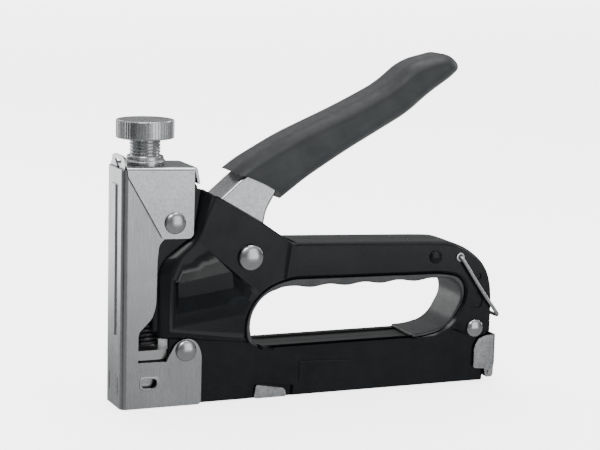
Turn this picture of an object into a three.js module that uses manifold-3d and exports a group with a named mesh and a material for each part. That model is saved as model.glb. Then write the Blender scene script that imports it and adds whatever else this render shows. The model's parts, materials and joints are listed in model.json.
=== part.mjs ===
// A hand staple gun: two pressed shells, a plated nose, a squeeze lever and a rear-loading magazine.
// Millimetres. X runs from the nose to the rear, Y across the tool, Z up from the working face.
import * as THREE from 'three';
import { mergeVertices } from 'three/addons/utils/BufferGeometryUtils.js';
import Module from 'manifold-3d';

const wasm = await Module();
wasm.setup();

// ---- driving dimensions ----
const gap = 0.3; // running and assembly gap
const centreX = 82.19; // the nose face lies this far in front of the origin
const shell = { wall: 1.2, rail: 8.6, body: 11.5, slope: 2.6, seam: 0.15 };
const nose = { half: 10.0, wall: 0.9, top: 94.5 };
const cap = { half: 11.2, wall: 0.9, front: 1.7, rear: 28.9, top: 96.0 };
const knob = { x: 12.1, head: 11.4, low: 105.8, high: 113.0, stem: 6.1, foot: 87.4, teeth: 60 };
const collar = { radius: 8.1, top: 98.9 };
const pivot = { x: 52.8, z: 58.4, pin: 3.2, bush: 4.3 };
const squeeze = THREE.MathUtils.degToRad(35.5); // full travel of the lever
const arm = { reach: 24, inner: 4.7, outer: 6.1, pin: 1.5 };
const lever = { half: 8.4, wall: 1.1 };
const sleeveHalf = 11.2;
const magazine = { half: 6.8, wall: 0.9, front: 4.2, rear: 159, top: 16.2 };
const rail = { half: 4.6, wall: 0.8, low: 1.6, high: 11.6, front: 6.5, rear: 162.0 };
const staple = { half: 5.6, wire: 1.0, low: 3.0, high: 13.2, end: 62 };
const latchPin = { x: 162.3, z: 3.8, radius: 1.2 };
const bailPivot = { x: 145.8, z: 54.0 };
const bail = { wire: 0.75, half: 13.2 };
const hammer = { front: 3.9, rear: 21.8, low: 18.8, shelf: 22.6, high: 54 };
const spring = { radius: 5.1, wire: 0.85, low: 22.9, high: 84.2 };

const lifterPin = {
  x: pivot.x - arm.reach * Math.cos(squeeze / 2),
  z: pivot.z - arm.reach * Math.sin(squeeze / 2),
};

// ---- solids ----
function toSolid(geometry) {
  const plain = geometry.clone();
  plain.deleteAttribute('normal');
  plain.deleteAttribute('uv');
  const merged = mergeVertices(plain, 1e-5);
  return new wasm.Manifold(new wasm.Mesh({
    numProp: 3,
    vertProperties: Float32Array.from(merged.attributes.position.array),
    triVerts: Uint32Array.from(merged.index.array),
  }));
}

function toGeometry(solid) {
  const mesh = solid.getMesh();
  const geometry = new THREE.BufferGeometry();
  geometry.setAttribute('position', new THREE.BufferAttribute(mesh.vertProperties, 3));
  geometry.setIndex(new THREE.BufferAttribute(mesh.triVerts, 1));
  geometry.computeVertexNormals();
  return geometry;
}

function join(...solids) {
  return solids.reduce((whole, next) => whole.add(next));
}

function cut(solid, ...tools) {
  return tools.reduce((rest, tool) => rest.subtract(tool), solid);
}

// Side corners moved outwards by a distance, square to the edges.
function grown(corners, distance) {
  const area = THREE.ShapeUtils.area(corners.map(([x, z]) => new THREE.Vector2(x, z)));
  return corners.map((corner, i) => {
    const before = corners[(i + corners.length - 1) % corners.length];
    const after = corners[(i + 1) % corners.length];
    const arriving = new THREE.Vector2(corner[0] - before[0], corner[1] - before[1]).normalize();
    const leaving = new THREE.Vector2(after[0] - corner[0], after[1] - corner[1]).normalize();
    const normal = new THREE.Vector2(arriving.y + leaving.y, -arriving.x - leaving.x);
    const reach = (Math.sign(area) * distance) / (1 + arriving.dot(leaving));
    return [corner[0] + normal.x * reach, corner[1] + normal.y * reach, corner[2] ?? 0];
  });
}

// A closed outline from corners [x, z] or [x, z, r], where r rounds the corner.
function outline(corners) {
  const shape = new THREE.Shape();
  corners.forEach((corner, i) => {
    const here = new THREE.Vector2(corner[0], corner[1]);
    const before = corners[(i + corners.length - 1) % corners.length];
    const after = corners[(i + 1) % corners.length];
    const back = new THREE.Vector2(before[0], before[1]).sub(here);
    const ahead = new THREE.Vector2(after[0], after[1]).sub(here);
    const round = Math.min(corner[2] ?? 0, back.length() * 0.45, ahead.length() * 0.45);
    const enter = back.setLength(round).add(here);
    const leave = ahead.setLength(round).add(here);
    if (i === 0) shape.moveTo(enter.x, enter.y);
    else shape.lineTo(enter.x, enter.y);
    if (round > 0) shape.quadraticCurveTo(here.x, here.y, leave.x, leave.y);
  });
  shape.closePath();
  return shape;
}

// Side corners given thickness across the tool, from y0 to y1; grow widens them all round.
function slab(corners, y0, y1, { grow = 0, segments = 3 } = {}) {
  const geometry = new THREE.ExtrudeGeometry(outline(grown(corners, grow)), {
    depth: y1 - y0,
    bevelEnabled: false,
    curveSegments: segments,
  });
  return toSolid(geometry.rotateX(Math.PI / 2).translate(0, y1, 0));
}

// The same with both faces rounded over: depth is how deep the rounding goes, inset how far in.
function pillow(corners, y0, y1, depth, inset, { grow = 0, segments = 3, steps = 2 } = {}) {
  const geometry = new THREE.ExtrudeGeometry(outline(grown(corners, grow - inset)), {
    depth: y1 - y0 - 2 * depth,
    bevelEnabled: true,
    bevelThickness: depth,
    bevelSize: inset,
    bevelSegments: steps,
    curveSegments: segments,
  });
  return toSolid(geometry.rotateX(Math.PI / 2).translate(0, y1 - depth, 0));
}

function block(x0, x1, y0, y1, z0, z1) {
  const geometry = new THREE.BoxGeometry(x1 - x0, y1 - y0, z1 - z0);
  return toSolid(geometry.translate((x0 + x1) / 2, (y0 + y1) / 2, (z0 + z1) / 2));
}

// A bar of round section across the tool.
function crossRod(x, z, radius, y0, y1, sides = 16) {
  const geometry = new THREE.CylinderGeometry(radius, radius, y1 - y0, sides);
  return toSolid(geometry.translate(x, (y0 + y1) / 2, z));
}

// A turned piece on an upright axis, from [radius, z] points.
function turned(points, x, sides = 24) {
  const profile = points.map(([radius, z]) => new THREE.Vector2(radius, z));
  const geometry = new THREE.LatheGeometry(profile, sides);
  return toSolid(geometry.rotateX(Math.PI / 2).translate(x, 0, 0));
}

class Helix extends THREE.Curve {
  constructor(place) {
    super();
    this.place = place;
  }
  getPoint(t, target = new THREE.Vector3()) {
    return target.copy(this.place(t));
  }
}

// A round wire swept along a curve.
function wire(curve, radius, steps, sides = 8) {
  const section = new THREE.Shape();
  for (let i = 0; i < sides; i += 1) {
    const turn = (2 * Math.PI * i) / sides;
    const at = [radius * Math.cos(turn), radius * Math.sin(turn)];
    if (i === 0) section.moveTo(...at);
    else section.lineTo(...at);
  }
  section.closePath();
  return toSolid(new THREE.ExtrudeGeometry(section, { steps, extrudePath: curve }));
}

function turnY(solid, x, z, angle) {
  const geometry = toGeometry(solid).translate(-x, 0, -z).rotateY(angle).translate(x, 0, z);
  return toSolid(geometry);
}

// ---- materials ----
function finish(color, roughness, metalness) {
  return new THREE.MeshStandardMaterial({ color, roughness, metalness });
}
const chrome = finish(0xa6abae, 0.28, 1);
const steel = finish(0x9a9da0, 0.38, 1);
const springSteel = finish(0x2c2e30, 0.4, 1);
const blackPaint = finish(0x1b1f22, 0.25, 0);
const plastic = finish(0x26292b, 0.55, 0);
const rubber = finish(0x34383a, 0.6, 0);

const gun = new THREE.Group();
gun.position.x = -centreX;

function add(name, solid, material) {
  const mesh = new THREE.Mesh(toGeometry(solid), material);
  mesh.name = name;
  gun.add(mesh);
}

// ---- shells ----
const bodyOutline = [
  [12.8, 29.8], [19.6, 29.8], [19.6, 0], [160, 0, 0.6], [160.1, 6.2], [161.6, 6.8],
  [161.6, 31.5], [150, 35], [62, 35], [46, 58], [38.4, 79.0], [36.6, 84.06], [34.8, 85.1, 1],
  [30.2, 88.0, 1.5], [28.9, 92.6], [12.8, 92.6],
];

const plateauOutline = [
  [20.4, 28.8], [52.5, 24.6, 2], [56, 22.2, 2], [59, 20.9], [137, 20.9, 3], [144, 23.8, 3], [148.5, 20.8, 2],
  [161.6, 20.7],
  [161.6, 36], [161.0, 43, 4], [158.4, 50, 4], [152.0, 56.0, 5], [143.5, 60.2, 5], [135, 60.6, 3],
  [71.5, 62.9, 0.8], [56.3, 73.2], [36, 84.4], [29.5, 68, 4], [20.4, 58, 4],
];

const handHole = [
  [61.5, 20.9, 6], [52.2, 22.4, 5], [51.0, 33.5, 7], [57.5, 43.8, 6], [68.4, 48.9, 6],
  [139.0, 47.7, 7], [147.6, 45.2, 6], [148.8, 37.0, 6], [141.2, 24.0, 8], [128.5, 20.9, 6],
];

// Where the lever comes out of the top: the fold there is cut away between the side walls.
const leverSlot = [[35.0, 92], [31.6, 78.0], [42, 70], [66, 60.8], [73.2, 60.8], [73.2, 72]];

// A notch in the lower edge on each side, for the tab of the magazine.
const tabNotch = [[53.2, -2], [54.2, 7.0, 1.5], [73.6, 4.8, 1.5], [72.5, -2]];

function shellHalf(side) {
  const span = (near, far) => (side < 0 ? [-far, -near] : [near, far]);
  const across = (shape, near, far, options) => slab(shape, ...span(near, far), options);
  const outer = join(
    across(bodyOutline, shell.seam, shell.rail),
    pillow(plateauOutline, -shell.body, shell.body, shell.slope, 1.9)
      .intersect(block(0, 170, ...span(shell.seam, 20), -5, 100)),
  );
  const inside = join(
    across(bodyOutline, -1, shell.rail - shell.wall, { grow: -shell.wall }),
    pillow(plateauOutline, -shell.body + shell.wall, shell.body - shell.wall, shell.slope, 1.9,
      { grow: -shell.wall }),
  );
  const holeWall = slab(handHole, -20, 20, { grow: shell.wall });
  const hollow = cut(inside, holeWall);
  const openings = [
    slab(handHole, -20, 20),
    slab(leverSlot, -lever.half - 0.7, lever.half + 0.7),
    slab(tabNotch, ...span(7.2, 12)),
    block(19, 163, -magazine.half - 0.5, magazine.half + 0.5, -1, magazine.top + 0.4),
    block(10, 22.3, -7.35, 7.35, -1, 94),
    block(10, 31, -7.35, 7.35, 90, 94),
    crossRod(21.0, 73.5, 2.5 + gap, -20, 20),
    crossRod(26.6, 22.3, 2.5 + gap, -20, 20),
    crossRod(pivot.x, pivot.z, pivot.pin + gap, -20, 20),
    crossRod(153.6, 23.6, 2 + gap, -20, 20),
    crossRod(134.5, 54.6, 1.4 + gap, -20, 20, 12),
    crossRod(bailPivot.x, bailPivot.z, 1.95, -20, 20, 12),
  ];
  return cut(cut(outer, hollow), ...openings);
}

// ---- nose ----
function noseCover() {
  const side = [
    [-0.02, 0], [33.2, 0, 1.5], [33.3, 21.2, 2.5], [30.6, 26.0, 2], [26.7, 27.2, 3], [22.4, 25.4, 2],
    [18.6, 18.2], [6.9, 18.3], [7.0, 30.4, 1.5], [12.6, 36.0, 1.5], [14.1, 41, 2], [14.4, 58.5, 1],
    [15.0, 64.9, 1.5], [18.5, 68.5], [18.5, nose.top], [-0.02, nose.top],
  ];
  const plan = new THREE.Shape();
  plan.moveTo(40, -nose.half);
  plan.lineTo(2.4, -nose.half);
  plan.quadraticCurveTo(0, -nose.half, 0, -nose.half + 2.4);
  plan.lineTo(0, nose.half - 2.4);
  plan.quadraticCurveTo(0, nose.half, 2.4, nose.half);
  plan.lineTo(40, nose.half);
  plan.lineTo(40, nose.half - nose.wall);
  plan.lineTo(2.4, nose.half - nose.wall);
  plan.quadraticCurveTo(nose.wall, nose.half - nose.wall, nose.wall, nose.half - 2.4);
  plan.lineTo(nose.wall, -nose.half + 2.4);
  plan.quadraticCurveTo(nose.wall, -nose.half + nose.wall, 2.4, -nose.half + nose.wall);
  plan.lineTo(40, -nose.half + nose.wall);
  plan.closePath();
  const channel = toSolid(new THREE.ExtrudeGeometry(plan, { depth: 96, bevelEnabled: false, curveSegments: 4 }));
  const slot = [[8.3, 7.9, 1.9], [14.8, 7.9, 1.9], [14.8, 11.9, 1.9], [8.3, 11.9, 1.9]];
  const rib = pillow([[-0.6, 0], [0.4, 0], [0.4, 60], [-0.6, 60]], -2.6, 2.6, 0.4, 0.3, { steps: 1 });
  const formed = channel.intersect(slab(side, -20, 20));
  return cut(
    join(formed, toSolid(toGeometry(rib).translate(0, 0, 28.5))),
    slab(slot, -20, 20),
    crossRod(26.6, 22.3, 2.5 + gap, -20, 20),
    block(-1, 1.2, -5.4, -4.8, 5, 12),
    block(-1, 1.2, 4.8, 5.4, 5, 12),
  );
}

// The inner front plate that guides the driver; its rounded ear stands above the cover.
function guidePlate() {
  const ear = new THREE.Shape();
  ear.moveTo(-8.4, 0.3);
  ear.lineTo(8.4, 0.3);
  ear.lineTo(8.4, 95.6);
  ear.quadraticCurveTo(8.4, 99.4, 4.9, 99.4);
  ear.lineTo(-4.9, 99.4);
  ear.quadraticCurveTo(-8.4, 99.4, -8.4, 95.6);
  ear.closePath();
  const hole = new THREE.Path();
  hole.moveTo(4.6, 97.6);
  hole.lineTo(-4.6, 97.6);
  hole.lineTo(0, 93.4);
  hole.closePath();
  ear.holes.push(hole);
  const geometry = new THREE.ExtrudeGeometry(ear, { depth: 0.8, bevelEnabled: false, curveSegments: 4 });
  return toSolid(geometry.rotateX(Math.PI / 2).rotateZ(Math.PI / 2).translate(1.25, 0, 0));
}

function topCap() {
  const side = [
    [cap.front, cap.top], [cap.rear, cap.top - 0.9], [28.7, 67.1, 2.3], [16.2, 67.4, 0.8], [cap.front, 92.6],
  ];
  const inside = [
    [cap.front - 1, cap.top - cap.wall], [cap.rear + 1, cap.top - cap.wall - 0.95], [33, 60], [0, 60],
  ];
  const tab = [
    [27.5, cap.top - 0.86], [30.6, cap.top - 1.0, 1.2], [31.9, 88.2], [31.0, 88.1], [29.6, cap.top - 1.9, 1.0],
    [27.5, cap.top - 1.76],
  ];
  const folded = cut(
    pillow(side, -cap.half, cap.half, 0.7, 0.5, { steps: 1 }),
    slab(inside, -cap.half + cap.wall, cap.half - cap.wall),
  );
  return cut(
    join(folded, slab(tab, -9.2, 9.2)),
    turned([[0, 80], [7.7, 80], [7.7, 100], [0, 100]], knob.x),
    block(0, 2.4, -8.8, 8.8, 90, 100),
    crossRod(21.0, 73.5, 2.5 + gap, -20, 20),
  );
}

// The threaded nut riveted through the cap, with a flared collar on top.
function tensionNut() {
  const bore = knob.stem + gap;
  return turned([
    [bore, 89.4], [7.3, 89.4], [7.3, 96.3], [collar.radius, 96.4], [collar.radius, 97.0],
    [7.5, 97.6], [7.2, collar.top], [bore, collar.top], [bore, 89.4],
  ], knob.x);
}

function bumper() {
  const ring = [[5.2, 16.6, 0.6], [19.0, 16.6, 0.6], [19.0, 18.5, 0.6], [5.2, 18.5, 0.6]];
  return slab(ring, -6.8, 6.8);
}

// ---- rivets ----
// A domed through-rivet: one shank, and a head on each side at the half-width given.
function rivet(x, z, shank, head, half, height) {
  const under = half + gap;
  const rise = 3;
  const points = [[0, -under - height]];
  for (let i = 1; i <= rise; i += 1) {
    const turn = (i / rise) * (Math.PI / 2);
    points.push([head * Math.sin(turn), -under - height * Math.cos(turn)]);
  }
  points.push([shank, -under]);
  const mirror = points.map(([radius, y]) => [radius, -y]).reverse();
  const profile = [...points, ...mirror].map(([radius, y]) => new THREE.Vector2(radius, y));
  return toSolid(new THREE.LatheGeometry(profile, 16).translate(x, 0, z));
}

// ---- lever ----
function leverChannel() {
  const side = [
    [36.2, 64.0, 1], [38.9, 80.5, 2], [50, 90.0, 3], [60, 97.0, 4], [77, 105.0], [94.6, 112.6], [110, 119.4, 3],
    [119, 126, 2], [121.5, 119.5, 2], [104, 107.8], [87, 98.6, 3], [70, 88.0, 2], [64.6, 83.8, 1],
    [60.4, 76.5, 2], [59.2, 70.0, 2], [61.6, 62.0, 2], [61.2, 52.5, 5], [50, 49.8, 4], [43.5, 52.5, 3],
  ];
  const rear = [
    [43.6, 64.0, 1], [45.5, 79.0, 3], [52, 87.2, 3], [60, 93.0, 3], [77, 101.6], [94.6, 109.4], [125, 123],
    [121.5, 112], [104, 103], [87, 94], [72, 84], [70, 70], [74, 40], [30, 30], [30, 60],
  ];
  const armSide = [
    [lifterPin.x - 3.4, lifterPin.z - 1, 2], [lifterPin.x - 1.5, lifterPin.z + 3.6, 2], [40, 58.5],
    [44.5, 64, 3], [60, 64, 3], [60, 51, 4], [48, 49.8, 3], [lifterPin.x + 1, lifterPin.z - 3.6, 3],
  ];
  const plates = cut(
    pillow(side, -lever.half, lever.half, 1.8, 0.7),
    slab(rear, -lever.half + lever.wall, lever.half - lever.wall),
    slab(side, -lever.half + lever.wall, lever.half - lever.wall, { grow: -lever.wall }),
  );
  const fork = [-1, 1].map((way) => slab(armSide, ...sorted(way * arm.inner, way * arm.outer)));
  const bosses = [-1, 1].map((way) => crossRod(pivot.x, pivot.z, 6.4, ...sorted(way * arm.inner, way * 8.2)));
  return cut(
    join(plates, ...fork, ...bosses),
    crossRod(pivot.x, pivot.z, pivot.bush + gap, -20, 20),
    crossRod(lifterPin.x, lifterPin.z, arm.pin + gap, -20, 20, 12),
  );
}

function sorted(a, b) {
  return a < b ? [a, b] : [b, a];
}

const leverCore = [
  [36, 60], [38.9, 80.5], [50, 90.0, 3], [60, 97.0, 4], [77, 105.0], [94.6, 112.6], [110, 119.4, 3],
  [119, 126, 2], [121.5, 119.5, 2], [104, 107.8], [87, 98.6, 3], [70, 88.0, 2], [64.6, 83.8, 1], [52, 60],
];

function leverSleeve() {
  const side = [
    [43.0, 90.0], [51.8, 96.4, 3], [68.7, 105.7, 5], [94.6, 116.8, 6], [112.2, 125.4, 5], [123.4, 134.6, 5],
    [139.6, 138.4, 6], [145.6, 132.4, 5], [141.4, 128.2, 5], [130.4, 121.0, 5], [121.6, 113.6, 5],
    [95.2, 99.2, 6], [77.8, 88.7, 5], [66.0, 80.0],
  ];
  const mouth = [[40, 96.5], [46.4, 92.0], [56.2, 88.6, 5], [65.0, 83.9], [72, 70], [40, 70]];
  return cut(
    pillow(side, -sleeveHalf, sleeveHalf, 6.4, 4.6, { steps: 3 }),
    slab(mouth, -20, 20),
    slab(leverCore, -lever.half - gap, lever.half + gap, { grow: gap }),
  );
}

function lifter() {
  const tip = 20.0;
  const side = [
    [tip, lifterPin.z - 1.5], [lifterPin.x - 3, lifterPin.z - 2.6, 1], [lifterPin.x + 2.4, lifterPin.z - 2.6, 2],
    [lifterPin.x + 2.4, lifterPin.z + 2.6, 2], [lifterPin.x - 3, lifterPin.z + 2.6, 1], [tip, lifterPin.z + 1.5],
  ];
  return cut(slab(side, -3.9, 3.9), crossRod(lifterPin.x, lifterPin.z, arm.pin + gap, -20, 20, 12));
}

function lifterPinSolid() {
  return join(
    crossRod(lifterPin.x, lifterPin.z, arm.pin, -6.9, 6.9, 12),
    crossRod(lifterPin.x, lifterPin.z, 2.3, -7.2, -6.4, 12),
    crossRod(lifterPin.x, lifterPin.z, 2.3, 6.4, 7.2, 12),
  );
}

function leverBush() {
  return cut(
    crossRod(pivot.x, pivot.z, pivot.bush, -9.9, 9.9),
    crossRod(pivot.x, pivot.z, pivot.pin + gap, -20, 20),
  );
}

// The return spring wound on the bush; one leg runs down to the floor of the body.
function leverSpring() {
  const turns = 4;
  const radius = 5.7;
  const coil = new Helix((t) => {
    const turn = 2 * Math.PI * turns * t;
    return new THREE.Vector3(
      pivot.x + radius * Math.cos(turn), -3.4 + 6.8 * t, pivot.z + radius * Math.sin(turn));
  });
  return wire(coil, 0.6, turns * 12, 5);
}

// ---- hammer ----
function hammerFrame() {
  const shelf = block(hammer.front, hammer.rear, -6.9, 6.9, hammer.low, hammer.shelf);
  const lug = slab([
    [7.5, hammer.low, 1], [17.5, hammer.low, 1], [17.5, hammer.shelf], [7.5, hammer.shelf],
  ], -7.3, 7.3);
  const back = block(hammer.rear - 1.4, hammer.rear, -5.6, 5.6, hammer.shelf - 1, hammer.high);
  const window = block(hammer.rear - 3, hammer.rear + 1, -4.3, 4.3, lifterPin.z - 2.1, lifterPin.z + 2.1);
  const rivetHole = toSolid(new THREE.CylinderGeometry(1.3, 1.3, 6, 16).rotateZ(Math.PI / 2)
    .translate(hammer.front, 0, 20.7));
  return cut(join(shelf, lug, back), window, rivetHole);
}

function driverBlade() {
  const blade = block(2.4, 3.6, -5.6, 5.6, 0.6, 27);
  const hole = toSolid(new THREE.CylinderGeometry(1.3, 1.3, 6, 16).rotateZ(Math.PI / 2).translate(3, 0, 20.7));
  return cut(blade, hole);
}

function bladeRivet() {
  const pin = new THREE.CylinderGeometry(1.0, 1.0, 4.2, 16).rotateZ(Math.PI / 2).translate(4.5, 0, 20.7);
  return toSolid(pin);
}

function mainSpring() {
  const closed = 2; // close-wound turns at each end
  const open = 8;
  const dead = closed * 2 * spring.wire;
  const low = spring.low + spring.wire;
  const high = spring.high - spring.wire;
  const turns = open + 2 * closed;
  const coil = new Helix((t) => {
    const turn = t * turns;
    let z = low + (turn / closed) * dead;
    if (turn > closed) z = low + dead + ((turn - closed) / open) * (high - low - 2 * dead);
    if (turn > closed + open) z = high - dead + ((turn - closed - open) / closed) * dead;
    const angle = 2 * Math.PI * turn;
    return new THREE.Vector3(
      knob.x + spring.radius * Math.cos(angle), spring.radius * Math.sin(angle), z);
  });
  return wire(coil, spring.wire * 0.9, turns * 10, 5);
}

function springSeat() {
  return turned([
    [0, 80.5], [3.2, 80.5], [3.6, 81.2], [3.6, 84.5], [6.6, 84.5], [6.6, 87.0], [0, 87.0],
  ], knob.x, 24);
}

function tensionKnob() {
  const tooth = (2 * Math.PI) / knob.teeth;
  const crown = new THREE.Shape();
  for (let i = 0; i < knob.teeth; i += 1) {
    const turn = i * tooth;
    const root = knob.head - 0.6 - 0.5;
    const tip = knob.head - 0.6;
    if (i === 0) crown.moveTo(tip * Math.cos(turn), tip * Math.sin(turn));
    else crown.lineTo(tip * Math.cos(turn), tip * Math.sin(turn));
    crown.lineTo(root * Math.cos(turn + tooth / 2), root * Math.sin(turn + tooth / 2));
  }
  crown.closePath();
  const head = new THREE.ExtrudeGeometry(crown, {
    depth: knob.high - knob.low - 2.4,
    bevelEnabled: true,
    bevelThickness: 1.2,
    bevelSize: 1.2,
    bevelOffset: -0.6,
    bevelSegments: 1,
  });
  const stem = turned([[0, knob.foot], [knob.stem - 0.8, knob.foot], [knob.stem, knob.foot + 0.8],
    [knob.stem, knob.low + 1], [0, knob.low + 1]], knob.x);
  return join(toSolid(head.translate(knob.x, 0, knob.low + 1.2)), stem);
}

// ---- magazine ----
function magazineChannel() {
  const body = cut(
    block(magazine.front, magazine.rear, -magazine.half, magazine.half, 0, magazine.top),
    block(0, 170, -magazine.half + magazine.wall, magazine.half - magazine.wall, magazine.wall,
      magazine.top - magazine.wall),
    block(0, 170, -4.0, 4.0, 14, 20),
    crossRod(26.6, 22.3, 2.5 + gap, -20, 20),
    block(magazine.front - 1, magazine.front + 2.5, -6, 6, -1, 1.5),
  );
  const tab = [[56.4, 0, 1.2], [57.3, 5.6, 1], [69.8, 3.4, 1.2], [70.4, 0, 0.8]];
  return join(body, ...[-1, 1].map((way) => slab(tab, ...sorted(way * (magazine.half - 0.5), way * 8.5))));
}

// A folded rail that carries the staples and slides out at the rear with its end block.
function feedRail() {
  const channel = cut(
    block(rail.front, rail.rear - 1, -rail.half, rail.half, rail.low, rail.high),
    block(rail.front - 1, 156, -rail.half + rail.wall, rail.half - rail.wall, rail.low - 1,
      rail.high - rail.wall),
    block(18, 130, -0.9, 0.9, rail.high - 2, rail.high + 1),
  );
  const end = slab([
    [160.4, 1.9, 0.4], [164.2, 1.9, 1.2], [164.2, 5.4, 1.2], [160.4, 5.4, 0.4],
  ], -8.9, 8.9);
  return cut(join(channel, end), crossRod(latchPin.x, latchPin.z, latchPin.radius + gap, -20, 20, 12));
}

// A coiled rod along the rail: the guide rod is inside the feed spring.
const feedAxisZ = 6.2;

function guideRod() {
  const rod = new THREE.CylinderGeometry(0.9, 0.9, 146, 12).rotateZ(Math.PI / 2);
  return toSolid(rod.translate(8.5 + 73, 0, feedAxisZ));
}

function feedSpring() {
  const turns = 16;
  const from = staple.end + 11.5;
  const to = 155.4;
  const coil = new Helix((t) => {
    const turn = 2 * Math.PI * turns * t;
    return new THREE.Vector3(
      from + (to - from) * t, 2.3 * Math.cos(turn), feedAxisZ + 2.3 * Math.sin(turn));
  });
  return wire(coil, 0.4, turns * 7, 4);
}

function pusher() {
  const saddle = cut(
    block(staple.end + 0.4, staple.end + 10.4, -staple.half, staple.half, staple.low, 13.3),
    block(0, 100, -rail.half - gap, rail.half + gap, 0, rail.high + gap),
  );
  const foot = block(staple.end + 0.4, staple.end + 10.4, -3.4, 3.4, 3.0, 10.4);
  const neck = block(staple.end + 1, staple.end + 9.8, -0.55, 0.55, 10, 12.5);
  const bore = new THREE.CylinderGeometry(0.9 + gap, 0.9 + gap, 40, 12).rotateZ(Math.PI / 2);
  return cut(join(saddle, foot, neck), toSolid(bore.translate(staple.end, 0, feedAxisZ)));
}

function stapleStrip() {
  return cut(
    block(3.95, staple.end, -staple.half, staple.half, staple.low, staple.high),
    block(0, 100, -staple.half + staple.wire * 0.7, staple.half - staple.wire * 0.7, 0,
      staple.high - staple.wire),
  );
}

function rearLatch() {
  const cheek = [
    [154.8, 5.9, 1], [159.3, 5.6], [163.0, 5.7, 1.6], [164.9, 9.4, 2], [164.8, 19.8, 0.8], [157.4, 19.6, 3],
    [154.8, 15.0, 1.5],
  ];
  const ear = [[160.1, 1.6, 1.6], [164.4, 1.6, 1.6], [164.4, 8], [160.1, 8]];
  const wrap = cut(
    slab(cheek, -10.5, 10.5),
    slab([[150, 0], [163.9, 0], [163.9, 25], [150, 25]], -9.6, 9.6),
  );
  const ears = [-1, 1].map((way) => slab(ear, ...sorted(way * 9.6, way * 10.4)));
  return cut(join(wrap, ...ears), crossRod(latchPin.x, latchPin.z, latchPin.radius + gap, -20, 20, 12));
}

function latchPinSolid() {
  return crossRod(latchPin.x, latchPin.z, latchPin.radius, -11.0, 11.0, 12);
}

// ---- grip and bail ----
// The moulded lining of the hand hole: over the top with finger waves, and down both ends.
function gripInsert() {
  const inner = new THREE.Shape();
  const start = 68;
  const finish_ = 134;
  const waves = 4;
  inner.moveTo(63.5, 19);
  inner.lineTo(54.0, 22.8);
  inner.quadraticCurveTo(52.6, 33.5, 58.6, 41.0);
  inner.quadraticCurveTo(62.0, 45.0, start, 45.6);
  for (let i = 1; i <= 24; i += 1) {
    const t = i / 24;
    inner.lineTo(start + (finish_ - start) * t, 45.6 - 0.45 * (1 - Math.cos(2 * Math.PI * waves * t)));
  }
  inner.quadraticCurveTo(146.8, 45.4, 147.6, 37.4);
  inner.quadraticCurveTo(144.0, 24.5, 131.0, 22.6);
  inner.lineTo(125.5, 22.6);
  inner.lineTo(125.5, 19);
  inner.closePath();
  const open = [[63, 10], [62.4, 24, 1], [70, 30], [125.6, 30], [125.6, 10]];
  return cut(
    slab(handHole, -shell.body + 0.5, shell.body - 0.5, { grow: -gap }),
    toSolid(new THREE.ExtrudeGeometry(inner, { depth: 40, bevelEnabled: false, curveSegments: 6 })
      .rotateX(Math.PI / 2).translate(0, 20, 0)),
    slab(open, -20, 20),
  );
}

function bailSolid() {
  const y = bail.half;
  const bend = 1.6;
  const legEnd = { x: 164.1, z: 28.4 };
  const along = new THREE.Vector2(legEnd.x - bailPivot.x, legEnd.z - bailPivot.z).normalize();
  const near = (way) => [
    new THREE.Vector3(bailPivot.x, way * 8.2, bailPivot.z),
    new THREE.Vector3(bailPivot.x, way * (y - bend), bailPivot.z),
    new THREE.Vector3(bailPivot.x + along.x * 0.5, way * (y - 0.3), bailPivot.z + along.y * 0.5),
    new THREE.Vector3(bailPivot.x + along.x * bend, way * y, bailPivot.z + along.y * bend),
    new THREE.Vector3(legEnd.x - along.x * 14, way * y, legEnd.z - along.y * 14 - 0.8),
    new THREE.Vector3(legEnd.x - along.x * 2.2, way * y, legEnd.z - along.y * 2.2),
    new THREE.Vector3(legEnd.x - along.x * 0.4, way * (y - 0.7), legEnd.z - along.y * 0.4),
    new THREE.Vector3(legEnd.x, way * (y - 2.6), legEnd.z),
  ];
  const route = new THREE.CatmullRomCurve3([...near(-1), ...near(1).reverse()], false, 'centripetal');
  return wire(route, bail.wire, 56, 6);
}

// A small rim where the bail enters each shell.
function bailEyelet(way) {
  const rim = crossRod(bailPivot.x, bailPivot.z, 2.5, ...sorted(way * 11.8, way * 12.1), 12);
  const neck = crossRod(bailPivot.x, bailPivot.z, 1.65, ...sorted(way * 10.0, way * 12.0), 12);
  return cut(join(rim, neck), crossRod(bailPivot.x, bailPivot.z, bail.wire + gap, -20, 20, 12));
}

// ---- assembly ----
add('shell_left', shellHalf(-1), blackPaint);
add('shell_right', shellHalf(1), blackPaint);
add('nose_cover', noseCover(), chrome);
add('guide_plate', guidePlate(), steel);
add('top_cap', topCap(), chrome);
add('tension_nut', tensionNut(), chrome);
add('bumper', bumper(), rubber);
add('grip_insert', gripInsert(), plastic);
add('magazine_channel', magazineChannel(), steel);
add('staple_strip', stapleStrip(), steel);
add('cap_rivet', rivet(21.0, 73.5, 2.5, 4.3, cap.half, 1.7), chrome);
add('nose_rivet', rivet(26.6, 22.3, 2.5, 4.25, nose.half, 1.7), chrome);
add('lever_rivet', rivet(pivot.x, pivot.z, pivot.pin, 5.2, shell.body, 2.0), chrome);
add('rear_rivet', rivet(153.6, 23.6, 2, 3.75, shell.body, 1.6), chrome);
add('bar_rivet', rivet(134.5, 54.6, 1.4, 2.75, shell.body, 0.9), blackPaint);
add('lever_bush', leverBush(), steel);
add('lever_spring', leverSpring(), springSteel);
add('bail_eyelet_left', bailEyelet(-1), steel);
add('bail_eyelet_right', bailEyelet(1), steel);
add('lever_channel', leverChannel(), chrome);
add('lever_sleeve', leverSleeve(), rubber);
add('lifter_pin', lifterPinSolid(), steel);
add('lifter', lifter(), steel);
add('hammer_frame', hammerFrame(), steel);
add('driver_blade', driverBlade(), steel);
add('blade_rivet', bladeRivet(), steel);
add('main_spring', mainSpring(), springSteel);
add('spring_seat', springSeat(), steel);
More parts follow.
